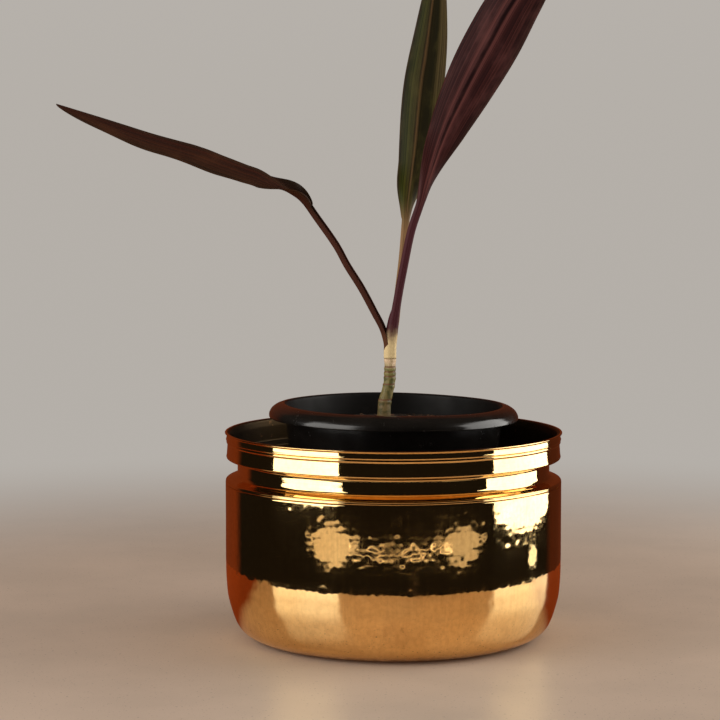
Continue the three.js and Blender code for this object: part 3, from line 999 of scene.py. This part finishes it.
# %% Cane shape
CANE_ROUTE = [(-8.6, 0, 148), (-8.4, 0, 186), (-8, 0, 208), (-5.6, 0, 219), (-3.4, 0, 230), (-3, 0, 250),
              (-3, 0, 271)]
CANE_HEIGHTS = [148, 205, 214, 224, 240, 262, 271]
CANE_RADII = [5.9, 5.9, 5.5, 5.1, 5.0, 5.0, 4.9]
SCARS = [197.5, 212.6, 226.5, 233.5, 237.6, 242.0, 249.6]
CANE_RINGS, CANE_COLUMNS = 220, 40


def tube_grid(route, radius, columns):
    """Rings of points round a route: each ring stands square to it, with its own radius."""
    along = np.gradient(route, axis=0)
    along /= np.linalg.norm(along, axis=1)[:, None]
    side = np.cross(along, [0, 1, 0])
    side /= np.linalg.norm(side, axis=1)[:, None]
    front = np.cross(side, along)
    turn = full_turn(columns)
    out = np.cos(turn)[None, :, None] * side[:, None] + np.sin(turn)[None, :, None] * -front[:, None]
    return route[:, None] + radius[..., None] * out


route = curve_through(np.array(CANE_ROUTE) * MM, CANE_RINGS)
height = route[:, 2] / MM
radius = np.interp(height, CANE_HEIGHTS, CANE_RADII)
for scar in SCARS:
    radius = radius + 0.42 * np.exp(-((height - scar + 1.6) / 1.5) ** 2)
    radius = radius - 0.34 * np.exp(-((height - scar) / 0.38) ** 2)
turn = full_turn(CANE_COLUMNS)
ridges = 1 + 0.012 * np.sin(9 * turn + height[:, None] / 6) + 0.01 * np.sin(4 * turn + height[:, None] / 3)
cane_grid = tube_grid(route, radius[:, None] * ridges * MM, CANE_COLUMNS)
cane = closed_shell("cane_stem", cane_grid, route[0], route[-1])
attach(cane, "potted_plant")
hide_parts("cane")

# %% [markdown]
# The bark's colour goes with its height, through a ramp with stops for brown, olive and cream, and a noise
# makes the borders uneven. Each scar is a thin brown ring, at the height where the shape has its dent.
# Lines along the cane and green patches on its lower part finish it.

# %% Cane material
BARK_FOOT, BARK_TOP = 0.190, 0.275
CREAM_LOW, CREAM_HIGH = 0.238, 0.243
STREAK, GREEN_PATCH, SCAR_BROWN = (0.30, 0.22, 0.08), (0.055, 0.060, 0.012), (0.16, 0.055, 0.018)

material, tree, shader, place = new_material("cane bark")
height = put(tree, "SeparateXYZ", {0: place}).outputs["Z"]
wobble = calc(tree, "MULTIPLY_ADD", noise(tree, place, 120, 3), 0.006, height)
limits = {"Value": wobble, "From Min": BARK_FOOT, "From Max": BARK_TOP}
share = put(tree, "MapRange", limits).outputs["Result"]
bark_tint = ramp(tree, share, (0.0, (0.10, 0.060, 0.028)), (0.28, (0.17, 0.10, 0.040)),
                 (0.33, (0.15, 0.12, 0.03)), (0.52, (0.14, 0.13, 0.028)), (0.62, (0.20, 0.19, 0.05)),
                 (0.70, (0.92, 0.64, 0.42)), (0.80, (0.94, 0.72, 0.42)), (0.92, (0.86, 0.68, 0.28)),
                 (1.0, (0.52, 0.44, 0.15)))
streaks = place_group(tree, fine_lines, stretched(tree, place, 1, 1, 0.10), 700)["Lines"]
bark_tint = mixed(tree, band(tree, streaks, 0.3, 0.75), bark_tint, STREAK)
patches = band(tree, noise(tree, place, 190, 3), 0.45, 0.6, 0, 0.7)
below_cream = band(tree, height, CREAM_LOW, CREAM_HIGH, 1, 0)
bark_tint = mixed(tree, calc(tree, "MULTIPLY", patches, below_cream), bark_tint, GREEN_PATCH)
scar_mask = 0.0
for scar in SCARS:
    gap = calc(tree, "ABSOLUTE", calc(tree, "SUBTRACT", height, scar * MM))
    scar_mask = calc(tree, "MAXIMUM", scar_mask, band(tree, gap, 0.3 * MM, 1.0 * MM, 1, 0))
bark_tint = mixed(tree, calc(tree, "MULTIPLY", scar_mask, 0.85), bark_tint, SCAR_BROWN)
feed(tree, shader, Base_Color=bark_tint, Roughness=band(tree, streaks, 0.3, 0.7, 0.42, 0.6),
     Specular_IOR_Level=0.4, Normal=bump(tree, streaks, 0.12 * MM))
cane.data.materials.append(material)
print("cane bark:", len(tree.nodes), "nodes,", len(SCARS), "scars")

# %% [markdown]
# ## Three leaves
#
# A ti leaf has three stretches: a base that sheathes the cane, a channelled stalk, and a long folded blade
# with one strong midrib and many fine veins that run along it. All three are one surface here. Across the
# leaf runs u, from -1 to 1, and along it runs a share from 0 to 1. Each cross-section is an arc of a
# circle: tightly curled at the sheath, a half-round channel along the stalk, and nearly flat in the blade,
# where a fold at the midrib and a ripple along the margins are added.

# %% Leaf shape
LEAF_ROWS, LEAF_COLUMNS = 340, 41
SHEATH_SHARES = [0, 0.05, 0.12]
SHEATH_CURL = [1 / 0.0052, 1 / 0.0050, 1 / 0.0035]
BLADE_CURL, FOLD_CURL = 6, 8
LEAF_THICKNESS = [0.9, 1.9, 1.7, 0.55, 0.3]
RIB_DEEP, RIB_THICK, RIB_WIDE = 0.5 * MM, 1.5 * MM, 1.2 * MM


def leaf_sheet(midrib, across, half_width, lean, curl, fold, ripple, rib, seed):
    """Points of a leaf's middle surface. midrib is its route in millimetres, across the way that +u points.
    The next six are arrays over the share: half_width is half the width in metres, lean how much wider the
    +u side is, curl the curvature of the section per metre, fold the rise of the margins as a share of the
    width, ripple the height of the margin waves, and rib the height of the midrib."""
    draw = np.random.default_rng(seed)
    path = curve_through(np.array(midrib) * MM, LEAF_ROWS)
    along = np.gradient(path, axis=0)
    along /= np.linalg.norm(along, axis=1)[:, None]
    side = np.array(across, float) - along * (along @ np.array(across, float))[:, None]
    side /= np.linalg.norm(side, axis=1)[:, None]
    up = np.cross(along, side)
    u = np.linspace(-1, 1, LEAF_COLUMNS)[None, :]
    arc = half_width[:, None] * u * (1 + lean[:, None] * np.sign(u))
    bend = curl[:, None] + 1e-6
    x = np.sin(bend * arc) / bend
    y = (1 - np.cos(bend * arc)) / bend + fold[:, None] * half_width[:, None] * np.abs(u) ** 1.15
    share = np.linspace(0, 1, LEAF_ROWS)[:, None]
    wave = sum(np.sin(share * draw.uniform(9, 44) + draw.uniform(0, 7) + 1.3 * (u > 0))
               for _ in range(4)) / 3
    y = y + ripple[:, None] * wave * np.abs(u) ** 3
    y = y - rib[:, None] * np.exp(-(arc / (1.1 * MM)) ** 2)
    return path[:, None] + x[..., None] * side[:, None] + y[..., None] * up[:, None]


def thick_sheet(name, grid, thickness):
    """A closed sheet round a grid of middle points: each is moved by half the thickness along the normal
    and against it, and the two faces are joined round all four edges. The UV map runs from 0 to 1, across
    and along."""
    rows, columns = grid.shape[:2]
    normal = np.cross(np.gradient(grid, axis=1), np.gradient(grid, axis=0))
    normal /= np.linalg.norm(normal, axis=2)[..., None]
    half = thickness[..., None] / 2
    faces = np.concatenate([(grid + half * normal).reshape(-1, 3), (grid - half * normal).reshape(-1, 3)])
    count = rows * columns
    key = np.arange(count).reshape(rows, columns)
    quads = np.stack([key[:-1, :-1], key[:-1, 1:], key[1:, 1:], key[1:, :-1]], 2).reshape(-1, 4)
    edge = np.concatenate([key[0, :-1], key[:-1, -1], key[-1, :0:-1], key[:0:-1, 0]])
    after = np.roll(edge, -1)
    rim = np.stack([edge, edge + count, after + count, after], 1)
    u, v = np.meshgrid(np.linspace(0, 1, columns), np.linspace(0, 1, rows))
    uv = np.tile(np.stack([u, v], 2).reshape(-1, 2), (2, 1))
    return make_piece(name, faces, [np.concatenate([quads, quads[:, ::-1] + count, rim])], uv)


def leaf_piece(name, node, midrib, across, sheath, stalk, blade_at, widest, early, swell, lean,
               fold, ripple, seed):
    """One leaf, built for a node of the CAD model. sheath, stalk and widest are half widths in millimetres,
    and blade_at is the share where the blade begins. early and swell say where the blade is widest and how
    fast it opens: its width goes as sin(pi t^early)^swell. lean is how much wider it is on the side of +u,
    fold how far its margins rise, and ripple how high they wave, in millimetres."""
    share = np.linspace(0, 1, LEAF_ROWS)
    t = np.clip((share - blade_at) / (1 - blade_at), 0, 1)
    blade = np.sin(np.pi * t ** early) ** swell
    base = np.interp(share, [0, 0.03, 0.09, blade_at], [sheath, sheath, stalk, stalk])
    half_width = (base * (1 - t) ** 2 + (widest - 0.4) * blade + 0.25) * MM
    open_up = np.clip(t * 5, 0, 1)
    stalk_curl = np.interp(share, SHEATH_SHARES, SHEATH_CURL)
    curl = stalk_curl * (1 - open_up) + BLADE_CURL * open_up
    inward = -np.sign(fold)
    bend = inward * curl * (1 - open_up) + fold * FOLD_CURL * open_up
    waves = ripple * MM * open_up * (1 - t)
    midrib_rise = RIB_DEEP * np.sign(fold) * (1 - t)
    grid = leaf_sheet(midrib, across, half_width, lean * open_up, bend, fold * open_up, waves, midrib_rise,
                      seed)
    u = np.abs(np.linspace(-1, 1, LEAF_COLUMNS))[None, :]
    thick = np.interp(share, [0, 0.1, blade_at, blade_at + 0.1, 1], LEAF_THICKNESS)[:, None] * MM
    rib = RIB_THICK * np.exp(-(u * half_width[:, None] / RIB_WIDE) ** 2)
    rib = rib * (1 - t[:, None]) * open_up[:, None]
    piece = thick_sheet(name, grid, thick * (1 - 0.6 * u ** 2) + rib)
    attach(piece, "potted_plant")
    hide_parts(node)
    return piece


LEFT_MIDRIB = [(-8.2, 0.4, 256), (-8.6, 0.3, 264), (-12, 0, 276), (-19, -0.8, 289.6), (-30.5, -2, 311),
               (-43, -3, 331), (-53.5, -4, 350), (-71, -5, 375), (-81, -6, 389), (-91, -7, 397.5),
               (-115, -8, 414.5), (-131, -9, 421), (-150, -10, 428.5), (-172, -11, 437), (-213, -12, 448.5),
               (-254, -13, 461.5), (-297, -14, 475)]
RIGHT_MIDRIB = [(-1.1, -4.9, 249.5), (-0.9, -4.9, 262), (1.6, -5.0, 284), (5.2, -5.5, 306), (9.3, -6, 328),
                (16.2, -8, 362), (24.6, -10, 388), (31, -12, 411), (45, -15, 452), (63, -18, 491),
                (83, -20, 529), (104, -22, 566), (132, -22, 604), (166, -18, 636), (204, -10, 662)]
BACK_MIDRIB = [(-1.6, 3.2, 264), (2.6, 4.6, 290), (8.4, 8, 336), (12.4, 11, 383), (18.6, 13, 432),
               (24, 14, 490), (31, 14, 540), (36, 13, 584), (39, 11, 622)]
left_leaf = leaf_piece(
    "left_leaf_blade", "left_leaf", LEFT_MIDRIB, across=(0.1, 1, 0.34), sheath=7.0, stalk=6.4,
    blade_at=0.375, widest=21.5, early=1.0, swell=0.62, lean=0.0, fold=0.35, ripple=1.6, seed=41)
right_leaf = leaf_piece(
    "right_leaf_blade", "right_leaf", RIGHT_MIDRIB, across=(1, 0.42, -0.4), sheath=14.5,
    stalk=4.6, blade_at=0.29, widest=25.5, early=0.96, swell=1.25, lean=0.0, fold=-0.3, ripple=1.0, seed=42)
back_leaf = leaf_piece(
    "back_leaf_blade", "back_leaf", BACK_MIDRIB, across=(1, 0.3, 0), sheath=6.0, stalk=4.0,
    blade_at=0.305, widest=18, early=0.85, swell=0.8, lean=0.05, fold=-0.3, ripple=1.0, seed=43)

# %% [markdown]
# A leaf's colour changes across it much more than along it: midrib, bands beside it, blade, and margin. So
# the material reads the UV map. A colour ramp across u lays the bands down, lines stretched along the leaf
# make the veins, and the two bend and blur the bands so that no edge is ruled. A thin waxy coat gives the
# sheen.

# %% Leaf materials
DUST_ON_LEAF = (0.3, 0.25, 0.2)


def leaf_material(name, bands, stalk, stalk_end, vein, sheath, blush, coat):
    """bands are (place across, colour) stops from one margin to the other. stalk is the colour up to the
    share stalk_end, vein is that of the fine lines, sheath that of the very base, and blush lies in clouds.
    coat is the weight of the waxy coat."""
    material, tree, shader, place = new_material(name)
    uv = put(tree, "UVMap", uv_map="surface").outputs["UV"]
    across = put(tree, "SeparateXYZ", {0: uv})
    waver = calc(tree, "MULTIPLY_ADD", noise(tree, stretched(tree, uv, 3, 7, 0), 1.0, 3), 0.07, -0.035)
    lane = calc(tree, "ADD", across.outputs["X"], waver)
    colour = ramp(tree, lane, *bands)
    veins = place_group(tree, fine_lines, stretched(tree, uv, 1, 0.012, 0), 26)["Lines"]
    colour = mixed(tree, band(tree, veins, 0.42, 0.56, 0.0, 0.75), colour, vein)
    colour = mixed(tree, band(tree, veins, 0.36, 0.46, 0.5, 0.0), colour, blush)
    clouds = noise(tree, stretched(tree, uv, 2.5, 9, 0), 1.0, 4)
    colour = mixed(tree, band(tree, clouds, 0.45, 0.75, 0.0, 0.55), colour, blush)
    low = band(tree, across.outputs["Y"], stalk_end - 0.05, stalk_end + 0.05, 1, 0)
    stem_lines = mixed(tree, band(tree, veins, 0.35, 0.65), stalk, tuple(0.6 * v for v in stalk))
    colour = mixed(tree, low, colour, stem_lines)
    ragged = calc(tree, "MULTIPLY_ADD", noise(tree, place, 160, 2), 0.03, across.outputs["Y"])
    colour = mixed(tree, band(tree, ragged, 0.035, 0.075, 1, 0), colour, sheath)
    powder = place_group(tree, dust, place, 0.04)["Dust"]
    colour = mixed(tree, powder, colour, DUST_ON_LEAF)
    feed(tree, shader, Base_Color=colour, Roughness=band(tree, veins, 0.3, 0.7, 0.46, 0.6),
         Specular_IOR_Level=0.10, Coat_Weight=coat, Coat_Roughness=0.35,
         Normal=bump(tree, veins, 0.10 * MM))
    return material


maroon = leaf_material(
    "maroon leaf",
    [(0.0, (0.040, 0.016, 0.005)), (0.2, (0.060, 0.014, 0.005)), (0.42, (0.046, 0.008, 0.004)),
     (0.48, (0.060, 0.024, 0.010)), (0.54, (0.012, 0.004, 0.002)), (0.8, (0.016, 0.006, 0.002)),
     (1.0, (0.040, 0.020, 0.006))],
    stalk=(0.075, 0.022, 0.012), stalk_end=0.34, vein=(0.018, 0.007, 0.004), sheath=(0.10, 0.035, 0.014),
    blush=(0.085, 0.026, 0.009), coat=0.02)
purple = leaf_material(
    "purple leaf",
    [(0.0, (0.050, 0.011, 0.010)), (0.30, (0.058, 0.012, 0.011)), (0.40, (0.120, 0.032, 0.028)),
     (0.46, (0.150, 0.044, 0.040)), (0.490, (0.014, 0.002, 0.003)), (0.535, (0.016, 0.003, 0.003)),
     (0.57, (0.160, 0.050, 0.044)), (0.66, (0.070, 0.016, 0.014)), (0.9, (0.034, 0.009, 0.007)),
     (1.0, (0.06, 0.03, 0.022))],
    stalk=(0.085, 0.020, 0.026), stalk_end=0.28, vein=(0.016, 0.005, 0.006), sheath=(0.72, 0.54, 0.28),
    blush=(0.15, 0.050, 0.045), coat=0.03)
olive = leaf_material(
    "olive leaf",
    [(0.0, (0.075, 0.036, 0.022)), (0.05, (0.026, 0.020, 0.003)), (0.20, (0.048, 0.060, 0.004)),
     (0.33, (0.105, 0.095, 0.014)), (0.43, (0.030, 0.019, 0.003)), (0.480, (0.200, 0.105, 0.040)),
     (0.51, (0.185, 0.100, 0.040)), (0.55, (0.020, 0.014, 0.005)), (0.76, (0.026, 0.020, 0.006)),
     (0.84, (0.120, 0.082, 0.034)), (1.0, (0.150, 0.100, 0.045))],
    stalk=(0.34, 0.19, 0.085), stalk_end=0.31, vein=(0.016, 0.014, 0.005), sheath=(0.50, 0.40, 0.18),
    blush=(0.105, 0.085, 0.020), coat=0.03)
left_leaf.data.materials.append(maroon)
right_leaf.data.materials.append(purple)
back_leaf.data.materials.append(olive)
print("leaf materials:", maroon.name, purple.name, olive.name)
